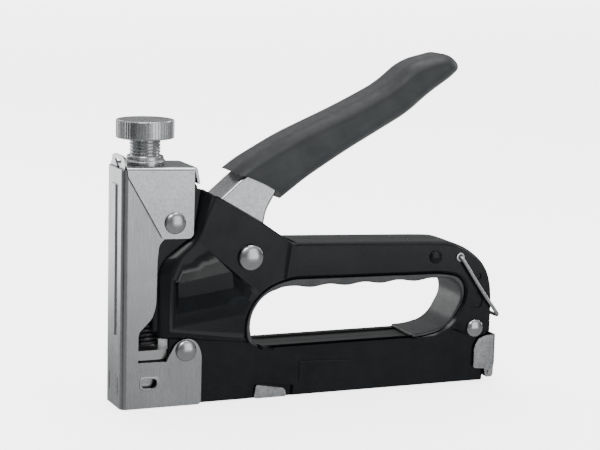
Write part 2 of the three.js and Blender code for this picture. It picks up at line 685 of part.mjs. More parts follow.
add('tension_knob', tensionKnob(), chrome);
add('feed_rail', feedRail(), steel);
add('guide_rod', guideRod(), steel);
add('feed_spring', feedSpring(), steel);
add('pusher', pusher(), steel);
add('latch_pin', latchPinSolid(), steel);
add('rear_latch', rearLatch(), chrome);
add('bail', bailSolid(), steel);

export default gun;
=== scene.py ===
import json
import math

import bmesh
import bpy
from mathutils import Matrix, Vector


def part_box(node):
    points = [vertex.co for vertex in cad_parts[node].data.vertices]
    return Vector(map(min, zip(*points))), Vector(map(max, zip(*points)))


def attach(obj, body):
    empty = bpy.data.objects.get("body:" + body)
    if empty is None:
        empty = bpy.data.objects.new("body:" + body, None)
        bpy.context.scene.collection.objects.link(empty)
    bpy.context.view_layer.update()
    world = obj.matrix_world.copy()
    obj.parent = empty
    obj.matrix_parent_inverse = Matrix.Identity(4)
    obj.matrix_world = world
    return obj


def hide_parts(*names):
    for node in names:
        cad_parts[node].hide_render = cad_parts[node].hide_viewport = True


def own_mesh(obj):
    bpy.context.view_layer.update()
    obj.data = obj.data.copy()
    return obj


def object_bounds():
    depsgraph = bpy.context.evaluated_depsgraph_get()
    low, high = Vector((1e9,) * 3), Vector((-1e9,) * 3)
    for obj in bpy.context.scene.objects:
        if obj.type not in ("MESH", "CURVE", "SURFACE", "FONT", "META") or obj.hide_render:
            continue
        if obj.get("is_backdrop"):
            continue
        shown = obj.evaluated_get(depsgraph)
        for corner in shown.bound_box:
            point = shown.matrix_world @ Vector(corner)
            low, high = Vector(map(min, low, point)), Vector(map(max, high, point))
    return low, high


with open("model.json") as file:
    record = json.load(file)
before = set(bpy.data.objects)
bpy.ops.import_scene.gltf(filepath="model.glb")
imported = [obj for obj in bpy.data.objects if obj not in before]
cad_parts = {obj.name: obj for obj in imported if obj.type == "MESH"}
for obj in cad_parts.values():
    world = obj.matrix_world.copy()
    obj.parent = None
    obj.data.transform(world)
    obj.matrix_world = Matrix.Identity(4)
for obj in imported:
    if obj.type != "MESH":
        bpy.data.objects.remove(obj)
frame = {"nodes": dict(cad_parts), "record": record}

cadLow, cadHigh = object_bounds()
mm = 0.001
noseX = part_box("nose_cover")[0][0] + 0.6 * mm      # the nose's front face, in the row frame


# A point from millimetres: x back from the nose face, z up from the sole, y across.
def place(x, z, y=0.0):
    return Vector((noseX + x * mm, y * mm, z * mm))


# ---- finishes ----

def newFinish(name):
    finish = bpy.data.materials.new(name)
    finish.use_nodes = True
    return finish, finish.node_tree.nodes, finish.node_tree.links, finish.node_tree.nodes["Principled BSDF"]


# Noise on the piece's own coordinates, in features per metre, stretched along the axes.
def grain(finish, scale, detail=4.0, stretch=(1, 1, 1), distortion=0.0):
    nodes, links = finish.node_tree.nodes, finish.node_tree.links
    coords = nodes.new("ShaderNodeTexCoord")
    mapping = nodes.new("ShaderNodeMapping")
    mapping.inputs["Scale"].default_value = stretch
    noise = nodes.new("ShaderNodeTexNoise")
    noise.inputs["Scale"].default_value = scale
    noise.inputs["Detail"].default_value = detail
    noise.inputs["Distortion"].default_value = distortion
    links.new(coords.outputs["Object"], mapping.inputs["Vector"])
    links.new(mapping.outputs["Vector"], noise.inputs["Vector"])
    return noise.outputs["Fac"]


def spread(finish, source, low, high, fromLow=0.3, fromHigh=0.7):
    node = finish.node_tree.nodes.new("ShaderNodeMapRange")
    node.inputs["From Min"].default_value = fromLow
    node.inputs["From Max"].default_value = fromHigh
    node.inputs["To Min"].default_value = low
    node.inputs["To Max"].default_value = high
    finish.node_tree.links.new(source, node.inputs["Value"])
    return node.outputs["Result"]


def tint(finish, source, dark, light):
    ramp = finish.node_tree.nodes.new("ShaderNodeValToRGB")
    ramp.color_ramp.elements[0].position = 0.3
    ramp.color_ramp.elements[1].position = 0.7
    ramp.color_ramp.elements[0].color = (*dark, 1)
    ramp.color_ramp.elements[1].color = (*light, 1)
    finish.node_tree.links.new(source, ramp.inputs["Fac"])
    return ramp.outputs["Color"]


# Several heights in metres, added up into one bump chain.
def relief(finish, shader, heights):
    nodes, links = finish.node_tree.nodes, finish.node_tree.links
    last = None
    for source, height in heights:
        bump = nodes.new("ShaderNodeBump")
        bump.inputs["Distance"].default_value = height
        links.new(source, bump.inputs["Height"])
        if last:
            links.new(last, bump.inputs["Normal"])
        last = bump.outputs["Normal"]
    links.new(last, shader.inputs["Normal"])


def stovedPaint():
    look = {"dark": (0.0012, 0.0016, 0.002), "light": (0.0022, 0.0028, 0.0034), "coat": 0.05}
    finish, nodes, links, shader = newFinish("stovedPaint")
    links.new(tint(finish, grain(finish, 60, 3), look["dark"], look["light"]), shader.inputs["Base Color"])
    links.new(spread(finish, grain(finish, 220, 5), 0.2, 0.28), shader.inputs["Roughness"])
    shader.inputs["Coat Weight"].default_value = look["coat"]
    shader.inputs["Coat Roughness"].default_value = 0.09
    shader.inputs["Specular IOR Level"].default_value = 0.2
    relief(finish, shader, [(grain(finish, 900, 2), 0.000004), (grain(finish, 120, 1), 0.00001)])
    return finish


def nickelPlate(name, base=(0.40, 0.41, 0.42), rough=(0.22, 0.34), brush=(1, 1, 0.04), scale=2600):
    finish, nodes, links, shader = newFinish(name)
    patches = grain(finish, 70, 4, distortion=0.4)
    dark = tuple(0.86 * value for value in base)
    links.new(tint(finish, patches, dark, base), shader.inputs["Base Color"])
    links.new(spread(finish, grain(finish, scale, 3, brush), *rough), shader.inputs["Roughness"])
    shader.inputs["Metallic"].default_value = 1.0
    scratches = grain(finish, scale, 2, brush)
    relief(finish, shader, [(scratches, 0.000006), (grain(finish, 160, 3), 0.00002)])
    return finish


def darkSpringSteel():
    finish, nodes, links, shader = newFinish("darkSpringSteel")
    look = {"dark": (0.02, 0.02, 0.022), "light": (0.07, 0.07, 0.075)}
    links.new(tint(finish, grain(finish, 900, 4), look["dark"], look["light"]), shader.inputs["Base Color"])
    links.new(spread(finish, grain(finish, 500, 4), 0.3, 0.5), shader.inputs["Roughness"])
    shader.inputs["Metallic"].default_value = 0.9
    relief(finish, shader, [(grain(finish, 1500, 3), 0.00001)])
    return finish


def dippedVinyl():
    look = {"dark": (0.0068, 0.0082, 0.0092), "light": (0.0112, 0.0128, 0.0138)}
    finish, nodes, links, shader = newFinish("dippedVinyl")
    links.new(tint(finish, grain(finish, 120, 5), look["dark"], look["light"]), shader.inputs["Base Color"])
    links.new(spread(finish, grain(finish, 400, 4), 0.42, 0.56), shader.inputs["Roughness"])
    shader.inputs["Sheen Weight"].default_value = 0.04
    shader.inputs["Sheen Roughness"].default_value = 0.5
    shader.inputs["Specular IOR Level"].default_value = 0.4
    relief(finish, shader, [(grain(finish, 2600, 3), 0.00002), (grain(finish, 70, 2), 0.0002)])
    return finish


def mouldedPlastic():
    finish, nodes, links, shader = newFinish("mouldedPlastic")
    look = {"dark": (0.010, 0.011, 0.012), "light": (0.018, 0.019, 0.020)}
    links.new(tint(finish, grain(finish, 150, 4), look["dark"], look["light"]), shader.inputs["Base Color"])
    links.new(spread(finish, grain(finish, 700, 4), 0.34, 0.46), shader.inputs["Roughness"])
    relief(finish, shader, [(grain(finish, 3200, 3), 0.00002)])
    return finish


paint = stovedPaint()
plateUpright = nickelPlate("nickelPlateUpright")
plateTurned = nickelPlate(
    "nickelPlateTurned", base=(0.43, 0.44, 0.45), rough=(0.16, 0.28), brush=(1, 1, 1), scale=900)
platePolished = nickelPlate(
    "polishedPlate", base=(0.5, 0.51, 0.52), rough=(0.16, 0.3), brush=(1, 1, 1), scale=500)
knurledPlate = nickelPlate(
    "knurledPlate", base=(0.66, 0.67, 0.68), rough=(0.2, 0.32), brush=(1, 1, 1), scale=1200)
zincSteel = nickelPlate(
    "zincSteel", base=(0.42, 0.425, 0.43), rough=(0.26, 0.42), brush=(0.05, 1, 1), scale=2200)
springDark = darkSpringSteel()
vinyl = dippedVinyl()
plastic = mouldedPlastic()


# ---- bench tools ----

def clearSelection():
    if bpy.context.object and bpy.context.object.mode != "OBJECT":
        bpy.ops.object.mode_set(mode="OBJECT")
    bpy.ops.object.select_all(action="DESELECT")


def takeUp(piece):
    clearSelection()
    piece.select_set(True)
    bpy.context.view_layer.objects.active = piece


def editPiece(piece):
    takeUp(piece)
    bpy.ops.object.mode_set(mode="EDIT")


# Selects the vertices, edges or faces of the piece in hand that pass a test, and counts them.
def pick(kind, test):
    bpy.ops.mesh.select_mode(type=kind)
    bpy.ops.mesh.select_all(action="DESELECT")
    shape = bmesh.from_edit_mesh(bpy.context.object.data)
    shape.normal_update()
    items = {"VERT": shape.verts, "EDGE": shape.edges, "FACE": shape.faces}[kind]
    found = [item for item in items if test(item)]
    for item in found:
        item.select_set(True)
    shape.select_flush_mode()
    bmesh.update_edit_mesh(bpy.context.object.data)
    return len(found)


def middle(edge):
    return (edge.verts[0].co + edge.verts[1].co) / 2


# Side corners [x, z] or [x, z, round] moved outwards by a distance, square to the edges.
def grown(corners, distance):
    full = [(*corner, 0)[:3] for corner in corners]
    count = len(full)
    area = sum(a[0] * b[1] - b[0] * a[1] for a, b in zip(full, full[1:] + full[:1]))
    moved = []
    for i, (x, z, curve) in enumerate(full):
        before, after = full[i - 1], full[(i + 1) % count]
        arriving = Vector((x - before[0], z - before[1])).normalized()
        leaving = Vector((after[0] - x, after[1] - z)).normalized()
        reach = distance * math.copysign(1, area) / (1 + arriving.dot(leaving))
        moved.append((x + (arriving.y + leaving.y) * reach, z - (arriving.x + leaving.x) * reach, curve))
    return moved


# Draws a run of points by extruding one vertex from each to the next.
def drawRun(name, points):
    clearSelection()
    bpy.ops.mesh.primitive_plane_add(size=mm, location=points[0])
    piece = bpy.context.object
    piece.name = name
    bpy.ops.object.transform_apply(location=True, rotation=True, scale=True)
    bpy.ops.object.mode_set(mode="EDIT")
    bpy.ops.mesh.select_mode(type="VERT")
    bpy.ops.mesh.select_all(action="SELECT")
    bpy.ops.mesh.merge(type="CENTER")
    for here, after in zip(points, points[1:]):
        bpy.ops.mesh.extrude_region_move(TRANSFORM_OT_translate={"value": after - here})
    return piece


# A flat outline in the side view, filled, with its corners rounded by vertex bevels.
def drawSide(name, corners, y, arcSteps=6):
    corners = [(*corner, 0)[:3] for corner in corners]
    points = [place(x, z, y) for x, z, curve in corners]
    piece = drawRun(name, points)
    bpy.ops.mesh.select_all(action="SELECT")
    bpy.ops.mesh.edge_face_add()
    count = len(corners)
    for i, (x, z, curve) in enumerate(corners):
        if curve:
            after = points[(i + 1) % count]
            room = min((points[i] - points[i - 1]).length, (points[i] - after).length) * 0.46
            pick("VERT", lambda vert: (vert.co - points[i]).length < 0.002 * mm)
            bpy.ops.mesh.bevel(offset=min(curve * mm, room), segments=arcSteps, affect="VERTICES")
    return piece


# Side outlines at several y joined into one closed piece; levels are (y, corners).
def loftSides(name, levels, arcSteps=6):
    rings = []
    for y, corners in levels:
        rings.append(drawSide(name, corners, y, arcSteps))
        bpy.ops.mesh.select_all(action="SELECT")
        bpy.ops.mesh.delete(type="ONLY_FACE")
        bpy.ops.object.mode_set(mode="OBJECT")
    piece = joinPieces(*rings)
    editPiece(piece)
    for (here, lower), (after, upper) in zip(levels, levels[1:]):
        heights = (here * mm, after * mm)

        def inPair(edge):
            return all(min(abs(vert.co.y - height) for height in heights) < 0.004 * mm for vert in edge.verts)

        pick("EDGE", lambda edge: inPair(edge) and abs(edge.verts[0].co.y - edge.verts[1].co.y) < 0.004 * mm)
        bpy.ops.mesh.bridge_edge_loops()
    bpy.ops.mesh.select_mode(type="EDGE")
    bpy.ops.mesh.select_all(action="SELECT")
    bpy.ops.mesh.fill_holes(sides=0)
    bpy.ops.mesh.select_all(action="SELECT")
    bpy.ops.mesh.normals_make_consistent(inside=False)
    bpy.ops.object.mode_set(mode="OBJECT")
    return piece


# Levels for a side outline whose rim at the far y is rounded over.
def softRim(corners, near, far, depth, inset, steps=4):
    way = 1 if far > near else -1
    levels = []
    for step in range(steps + 1):
        turn = math.pi / 2 * step / steps
        level = far - way * depth * (1 - math.sin(turn))
        levels.append((level, grown(corners, -inset * (1 - math.cos(turn)))))
    return [(near, corners)] + levels


# The same, rounded at both ends.
def softBothRims(corners, half, depth, inset, steps=5):
    one = softRim(corners, 0, half, depth, inset, steps)[1:]
    return [(-y, level) for y, level in reversed(one)] + one


# Side corners given thickness from one y to another.
def cutBlank(name, corners, near, far, grow=0.0, arcSteps=6):
    piece = drawSide(name, grown(corners, grow), near, arcSteps)
    bpy.ops.mesh.select_mode(type="FACE")
    bpy.ops.mesh.select_all(action="SELECT")
    bpy.ops.mesh.extrude_region_move(TRANSFORM_OT_translate={"value": (0, (far - near) * mm, 0)})
    bpy.ops.mesh.select_all(action="SELECT")
    bpy.ops.mesh.normals_make_consistent(inside=False)
    bpy.ops.object.mode_set(mode="OBJECT")
    return piece


def useTool(piece, tool, operation="DIFFERENCE"):
    takeUp(piece)
    change = piece.modifiers.new("tool", "BOOLEAN")
    change.operation = operation
    change.solver = "EXACT"
    change.object = tool
    bpy.ops.object.modifier_apply(modifier=change.name)
    bpy.data.objects.remove(tool, do_unlink=True)


def deleteFaces(piece, test):
    editPiece(piece)
    if pick("FACE", test):
        bpy.ops.mesh.delete(type="FACE")
    bpy.ops.object.mode_set(mode="OBJECT")


# Gives a skin its wall, inwards from the outside.
def giveWall(piece, wall, even=False):
    takeUp(piece)
    change = piece.modifiers.new("wall", "SOLIDIFY")
    change.thickness = wall * mm
    change.offset = -1
    change.use_even_offset = even
    bpy.ops.object.modifier_apply(modifier=change.name)


def breakEdges(piece, width=0.2, steps=2, angle=38):
    takeUp(piece)
    change = piece.modifiers.new("edge", "BEVEL")
    change.width = width * mm
    change.segments = steps
    change.limit_method = "ANGLE"
    change.angle_limit = math.radians(angle)
    change.use_clamp_overlap = True
    bpy.ops.object.modifier_apply(modifier=change.name)


def finishPiece(piece, body, finish, replaced=(), smooth=32):
    takeUp(piece)
    bpy.ops.object.transform_apply(location=True, rotation=True, scale=True)
    bpy.ops.object.shade_smooth_by_angle(angle=math.radians(smooth))
    change = piece.modifiers.new("normals", "WEIGHTED_NORMAL")
    change.weight = 100
    change.keep_sharp = True
    bpy.ops.object.modifier_apply(modifier=change.name)
    piece.data.materials.clear()
    piece.data.materials.append(finish)
    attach(piece, body)
    if replaced:
        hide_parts(*replaced)
    print("made", piece.name, len(piece.data.polygons), "faces")


# A rod across the tool, started from a cylinder.
def crossBar(name, x, z, radius, near, far, sides=32):
    clearSelection()
    bpy.ops.mesh.primitive_cylinder_add(
        vertices=sides, radius=radius * mm, depth=(far - near) * mm,
        location=place(x, z, (near + far) / 2), rotation=(math.pi / 2, 0, 0))
    bpy.context.object.name = name
    bpy.ops.object.transform_apply(location=True, rotation=True, scale=True)
    return bpy.context.object


def blockPiece(name, low, high):
    clearSelection()
    bpy.ops.mesh.primitive_cube_add(size=1, location=(place(*low) + place(*high)) / 2)
    piece = bpy.context.object
    piece.name = name
    size = place(*high) - place(*low)
    piece.scale = [abs(value) for value in size]
    bpy.ops.object.transform_apply(location=True, rotation=True, scale=True)
    return piece


# A profile of points spun round an axis.
def turnPiece(name, points, centre, axis, steps=48):
    piece = drawRun(name, points)
    bpy.ops.mesh.select_all(action="SELECT")
    bpy.ops.mesh.spin(steps=steps, angle=2 * math.pi, center=centre, axis=axis)
    bpy.ops.mesh.select_all(action="SELECT")
    bpy.ops.mesh.remove_doubles(threshold=0.003 * mm)
    bpy.ops.mesh.normals_make_consistent(inside=False)
    bpy.ops.object.mode_set(mode="OBJECT")
    return piece


def joinPieces(first, *others):
    takeUp(first)
    for piece in others:
        piece.select_set(True)
    bpy.ops.object.join()
    return first


# A round wire along a run of points, turned into a mesh.
def layWire(name, route, radius, roundness, kind):
    line = bpy.data.curves.new(name, "CURVE")
    line.dimensions = "3D"
    line.bevel_depth = radius * mm
    line.bevel_resolution = roundness
    line.use_fill_caps = True
    line.resolution_u = 8
    spline = line.splines.new(kind)
    spline.points.add(len(route) - 1)
    for point, spot in zip(spline.points, route):
        point.co = (*spot, 1)
    if kind == "NURBS":
        spline.order_u = 3
        spline.use_endpoint_u = True
    piece = bpy.data.objects.new(name, line)
    bpy.context.collection.objects.link(piece)
    takeUp(piece)
    bpy.ops.object.convert(target="MESH")
    return bpy.context.object


# ---- camera and light ----

camera = {
    "x": -231.4, "y": -726.2, "z": 200.6, "azimuth": -23.1, "elevation": 9.5, "roll": 1.39, "lens": 118.8,
}


def setCamera(data):
    azimuth, elevation, roll = (math.radians(data[key]) for key in ("azimuth", "elevation", "roll"))
    level = math.cos(elevation)
    back = Vector((math.sin(azimuth) * level, -math.cos(azimuth) * level, math.sin(elevation)))
    right = Vector((math.cos(azimuth), math.sin(azimuth), 0))
    up = back.cross(right)
    across = right * math.cos(roll) + up * math.sin(roll)
    upwards = up * math.cos(roll) - right * math.sin(roll)
    clearSelection()
    bpy.ops.object.camera_add(location=place(data["x"], data["z"], data["y"]))
    eye = bpy.context.object
    turn = Matrix((across, upwards, back)).transposed()
    eye.rotation_euler = turn.to_euler()
    eye.data.lens = data["lens"]
    eye.data.sensor_width = 36
    bpy.context.scene.camera = eye


def softBox(name, at, size, power):
    clearSelection()
    bpy.ops.object.light_add(type="AREA", location=at)
    lamp = bpy.context.object
    lamp.name = name
    lamp.rotation_euler = (Vector((0, 0, 0.06)) - Vector(at)).to_track_quat("-Z", "Y").to_euler()
    lamp.data.shape = "RECTANGLE"
    lamp.data.size, lamp.data.size_y = size
    lamp.data.energy = power


# A black card beside the tool that gives the bright plate its dark streaks.
def darkCard(name, at, size):
    clearSelection()
    bpy.ops.mesh.primitive_plane_add(size=1, location=at)
    card = bpy.context.object
    card.name = name
    card.scale = (*size, 1)
    card.rotation_euler = (Vector((0, 0, 0.06)) - Vector(at)).to_track_quat("Z", "Y").to_euler()
    bpy.ops.object.transform_apply(location=False, rotation=False, scale=True)
    finish, nodes, links, shader = newFinish(name)
    shader.inputs["Base Color"].default_value = (0.01, 0.01, 0.01, 1)
    shader.inputs["Roughness"].default_value = 0.9
    card.data.materials.append(finish)
    card.visible_camera = False
    card.visible_shadow = False
    card.visible_diffuse = False
    card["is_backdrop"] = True


def setStudio():
    world = bpy.context.scene.world or bpy.data.worlds.new("studio")
    bpy.context.scene.world = world
    world.use_nodes = True
    nodes, links = world.node_tree.nodes, world.node_tree.links
    sky = nodes["Background"]
    coords = nodes.new("ShaderNodeTexCoord")
    split = nodes.new("ShaderNodeSeparateXYZ")
    ramp = nodes.new("ShaderNodeValToRGB")
    levels = [(0.0, 0.6), (0.42, 0.5), (0.5, 0.3), (0.62, 0.32), (0.8, 0.8), (1.0, 1.2)]
    shift = nodes.new("ShaderNodeMapRange")
    shift.inputs["From Min"].default_value = -1
    links.new(coords.outputs["Generated"], split.inputs["Vector"])
    links.new(split.outputs["Z"], shift.inputs["Value"])
    links.new(shift.outputs["Result"], ramp.inputs["Fac"])
    while len(ramp.color_ramp.elements) < len(levels):
        ramp.color_ramp.elements.new(0.5)
    for element, (position, level) in zip(ramp.color_ramp.elements, levels):
        element.position = position
        element.color = (level, level * 1.01, level * 1.02, 1)
    links.new(ramp.outputs["Color"], sky.inputs["Color"])
    sky.inputs["Strength"].default_value = 0.8
    softBox("keyBox", (-0.45, -0.6, 0.95), (0.5, 0.35), 5.0)
    softBox("topBox", (0.15, 0.05, 1.0), (0.9, 0.35), 6.0)
    softBox("frontBox", (0.36, -0.88, 0.2), (0.62, 0.7), 2.4)
    softBox("noseBox", (-0.42, 0.85, 0.15), (0.55, 0.6), 2.6)
    softBox("sideBox", (0.95, 0.1, 0.4), (0.2, 0.7), 2.0)
    darkCard("noseCard", (-0.66, -0.24, 0.16), (0.3, 0.7))


def setFloor():
    clearSelection()
    bpy.ops.mesh.primitive_plane_add(size=8, location=(0, 0, -0.0002))
    floor = bpy.context.object
    floor.name = "floor"
    finish, nodes, links, shader = newFinish("paleFloor")
    pale, paler = (0.86, 0.86, 0.86), (0.9, 0.9, 0.9)
    links.new(tint(finish, grain(finish, 3, 2), pale, paler), shader.inputs["Base Color"])
    shader.inputs["Roughness"].default_value = 0.7
    shader.inputs["Specular IOR Level"].default_value = 0.2
    shader.inputs["Emission Color"].default_value = (1, 1, 1, 1)
    shader.inputs["Emission Strength"].default_value = 3.2
    editPiece(floor)
    pick("EDGE", lambda edge: middle(edge).y > 3.9)
    bpy.ops.mesh.extrude_region_move(TRANSFORM_OT_translate={"value": (0, 0, 5)})
    bpy.ops.object.mode_set(mode="OBJECT")
    floor.data.materials.append(finish)
    floor.visible_glossy = False
    floor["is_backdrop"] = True


setCamera(camera)
setStudio()
setFloor()
print("camera, light and floor are set")


# ---- pressed shells ----

shell = {
    "wall": 1.1, "seam": 0.15, "rail": 8.6, "body": 11.5, "slot": 9.1,
    "railBend": 1.5, "lip": 1.2, "step": (67.6, 73.4), "drop": 0.55,
    "frontX": 12.8, "jawX": 19.6, "jawZ": 29.8, "rearX": 160.05, "topZ": 92.6,
}
lowCorners = [
    [12.8, 29.8], [19.6, 29.8], [19.6, 0], [160, 0, 0.6], [160.1, 6.2], [161.6, 6.8],
    [161.6, 31.5], [150, 35], [62, 35], [46, 58], [38.4, 79.0], [36.6, 84.06], [34.8, 85.1, 1],
    [30.2, 88.0, 1.5], [28.9, 92.6], [12.8, 92.6],
]
raisedCorners = [
    [15.2, 27.6], [52.5, 23.6, 2], [56, 21.9, 2], [59, 20.7], [137, 20.7, 3], [144, 23.6, 3],
    [148.5, 20.9, 2], [161.6, 20.75, 0.6], [161.6, 36, 3], [161.0, 43, 4], [158.4, 50, 4],
    [152.0, 56.0, 5], [143.5, 60.2, 5], [135, 60.8, 3], [71, 63.2, 2],
    [56.3, 73.2], [32.4, 86.5, 1], [29.4, 68, 4], [15.2, 57.5, 5],
]
topCorners = [
    [20.6, 31.4, 1.5], [52.5, 26.2, 2], [56.6, 23.6, 2], [59.4, 21.6], [137, 21.6, 3],
    [144.4, 24.6, 3], [149.4, 22.0, 2], [160.7, 21.9, 1], [160.7, 36, 3], [160.0, 42.6, 4],
    [157.4, 49.2, 4], [151.2, 54.6, 5], [143.2, 58.6, 5], [135, 59.3, 3], [72, 61.7, 2],
    [56.2, 72.5], [37.6, 83.2, 2], [31.8, 66.6, 5], [20.6, 56.3, 5],
]
holeCorners = [
    [61.5, 20.9, 6], [52.2, 22.4, 5], [51.0, 33.5, 7], [57.5, 43.8, 6], [68.4, 48.9, 8],
    [139.0, 47.7, 9], [148.0, 45.4, 6], [149.4, 36.8, 6], [141.6, 24.0, 8], [128.5, 20.9, 7],
]
slotCorners = [[35.0, 92], [31.6, 78.0], [42, 70], [66, 60.8], [73.2, 60.8], [73.2, 72]]
notchCorners = [[53.2, -2], [54.2, 7.0, 1.5], [73.6, 4.8, 1.5], [72.5, -2]]
recessCorners = [
    [151.6, 31.8, 1.5], [150.8, 38.4, 2], [155.4, 39.4, 2], [157.4, 36.5, 1.5], [156.6, 32.2, 1.5],
]
badgeCorners = [[22.6, 43.4, 1.2], [22.2, 49.6, 1.2], [45.2, 53.4, 1.2], [46.2, 46.2, 1.2]]
plateCorners = [[75.6, 5.2, 0.8], [75.6, 14.4, 0.8], [98.8, 13.4, 0.8], [98.8, 4.6, 0.8]]


def makeShell(name, way):
    seamY = way * shell["seam"]
    low = loftSides(name, softRim(lowCorners, seamY, way * shell["rail"], shell["railBend"], 0.9, 4), 4)
    levels = [(seamY, raisedCorners), (way * 8.2, raisedCorners)]
    for share, rise in ((0, 0), (0.12, 0.3), (0.45, 0.72), (0.75, 0.93), (1, 1)):
        mixed = [[a[0] + (b[0] - a[0]) * share, a[1] + (b[1] - a[1]) * share, *a[2:]]
                 for a, b in zip(raisedCorners, topCorners)]
        levels.append((way * (8.9 + (shell["body"] - 8.9) * rise), mixed))
    raised = loftSides("raised", levels, 5)
    useTool(low, raised, "UNION")
    lip = shell["lip"]
    flare = [(0, holeCorners), (way * (shell["body"] - lip), holeCorners)]
    for step in (1, 2, 3, 4):
        turn = math.pi / 2 * step / 4
        flare.append((way * (shell["body"] - lip * math.cos(turn) + 0.02 * step),
                      grown(holeCorners, lip * (1 - math.cos(turn)) + 0.001)))
    flare.append((way * 20, grown(holeCorners, lip + 0.02)))
    flare.insert(0, (-way * 3, holeCorners))
    useTool(low, loftSides("hole", flare, 6))
    useTool(low, cutBlank("slot", slotCorners, -shell["slot"], shell["slot"]))
    useTool(low, cutBlank("notch", notchCorners, way * 7.2, way * 12))
    front, jaw, rear = (place(shell[key], 0).x for key in ("frontX", "jawX", "rearX"))
    jawZ, topZ = shell["jawZ"] * mm, shell["topZ"] * mm
    near = 0.1 * mm

    def opened(face):
        at, out = face.calc_center_median(), face.normal
        if abs(at.y) < 0.2 * mm:
            return True
        if out.x < -0.9 and (abs(at.x - front) < near or abs(at.x - jaw) < near):
            return True
        if out.z < -0.9 and abs(at.z) < near or out.z > 0.9 and abs(at.z - topZ) < near:
            return True
        if out.z < -0.9 and abs(at.z - jawZ) < near and at.x < jaw + near:
            return True
        if at.x > rear and at.z < 20 * mm and out.x > 0.9 and abs(at.y) < 7.2 * mm:
            return True
        inSlot = place(31, 0).x < at.x < place(73.3, 0).x and at.z > 60.7 * mm
        return inSlot and abs(at.y) < (shell["slot"] + 0.02) * mm

    deleteFaces(low, opened)
    editPiece(low)
    bpy.ops.mesh.select_all(action="SELECT")
    bpy.ops.mesh.remove_doubles(threshold=0.02 * mm)
    for x in shell["step"]:
        bpy.ops.mesh.select_all(action="SELECT")
        bpy.ops.mesh.bisect(plane_co=place(x, 0), plane_no=(1, 0, 0))
    bpy.ops.mesh.select_all(action="SELECT")
    bpy.ops.mesh.quads_convert_to_tris(quad_method="BEAUTY", ngon_method="BEAUTY")
    stepX, flat = place(shell["step"][0] + 0.05, 0).x, (shell["body"] - 0.02) * mm
    pick("VERT", lambda vert: vert.co.x < stepX and abs(vert.co.y) > flat)
    bpy.ops.transform.translate(value=(0, -way * shell["drop"] * mm, 0))
    bpy.ops.object.mode_set(mode="OBJECT")
    giveWall(low, shell["wall"])
    useTool(low, cutBlank("recess", recessCorners, way * 11.0, way * 13))
    useTool(low, crossBar("dimple", 154.6, 45.5, 1.5, *sorted((way * 11.0, way * 13))))
    badge = loftSides("badge", softRim(badgeCorners, way * 10.6, way * 11.3, 0.35, 0.35, 3), 4)
    useTool(low, badge, "UNION")
    plate = loftSides("plate", softRim(plateCorners, way * 8.2, way * 8.95, 0.35, 0.35, 3), 4)
    useTool(low, plate, "UNION")
    finishPiece(low, "body", paint, ["shell_left" if way < 0 else "shell_right"])


makeShell("shellLeft", -1)
makeShell("shellRight", 1)
print("shells are made")


# ---- nickel nose and cap ----

cover = {"half": 10.0, "wall": 0.9, "bend": 2.4, "rib": 2.6}
coverSide = [
    [-1, -0.0], [33.2, 0, 1.5], [33.3, 21.2, 2.5], [30.6, 26, 2], [26.7, 27.2, 3],
    [22.4, 25.4, 2], [18.6, 18.2], [6.9, 18.3], [7.0, 30.4, 1.5], [12.6, 36, 1.5],
    [14.1, 41, 2], [14.4, 58.5, 1], [15, 64.9, 1.5], [18.5, 68.5], [18.5, 94.5], [-1, 94.5],
]
slotSide = [[8.3, 7.9, 1.9], [14.8, 7.9, 1.9], [14.8, 11.9, 1.9], [8.3, 11.9, 1.9]]


# A folded sheet seen from above: a run of x, y points drawn, bent at its corners and raised.
def foldPlan(name, points, bends, bottom, top, wall, steps=6):
    corners = [place(x, bottom, y) for x, y in points]
    piece = drawRun(name, corners)
    for (x, y), bend in zip(points, bends):
        if bend:
            spot = place(x, bottom, y)
            pick("VERT", lambda vert: (vert.co - spot).length < 0.002 * mm)
            bpy.ops.mesh.bevel(offset=bend * mm, segments=steps, affect="VERTICES")
    bpy.ops.mesh.select_mode(type="EDGE")
    bpy.ops.mesh.select_all(action="SELECT")
    bpy.ops.mesh.extrude_region_move(TRANSFORM_OT_translate={"value": (0, 0, (top - bottom) * mm)})
    bpy.ops.mesh.select_all(action="SELECT")
    bpy.ops.mesh.normals_make_consistent(inside=False)
    bpy.ops.object.mode_set(mode="OBJECT")
    giveWall(piece, wall, even=True)
    return piece


def makeCover():
    half = cover["half"]
    points = [(34.5, half), (0, half), (0, -half), (34.5, -half)]
    piece = foldPlan("noseCover", points, (0, cover["bend"], cover["bend"], 0), -0.5, 95.5, cover["wall"])
    useTool(piece, cutBlank("side", coverSide, -20, 20), "INTERSECT")
    slot = cutBlank("slot", slotSide, -20, 20)
    useTool(piece, slot)
    rib = blockPiece("rib", (-0.55, 28.5, -cover["rib"]), (0.5, 88.5, cover["rib"]))
    breakEdges(rib, 0.5, 3)
    useTool(piece, rib, "UNION")
    for way in (-1, 1):
        slit = blockPiece("slit", (-1, 5, way * 5.1 - 0.35), (3, 12.5, way * 5.1 + 0.35))
        useTool(piece, slit)
        groove = blockPiece("groove", (-1, 29, way * 3.1 - 0.3), (0.3, 87.5, way * 3.1 + 0.3))
        useTool(piece, groove)
    breakEdges(piece, 0.13, 2, 50)
    finishPiece(piece, "body", plateUpright, ["nose_cover"])
    for way in (-1, 1):
        ring = loftSides("slotRim", [
            (way * 9.8, grown(slotSide, 0.9)), (way * 10.25, grown(slotSide, 0.75)),
            (way * 10.3, grown(slotSide, 0.55))], 5)
        useTool(ring, cutBlank("inside", slotSide, -20, 20, arcSteps=5))
        finishPiece(ring, "body", platePolished, ["nose_cover"])
        ring.name = "slotRimLeft" if way < 0 else "slotRimRight"


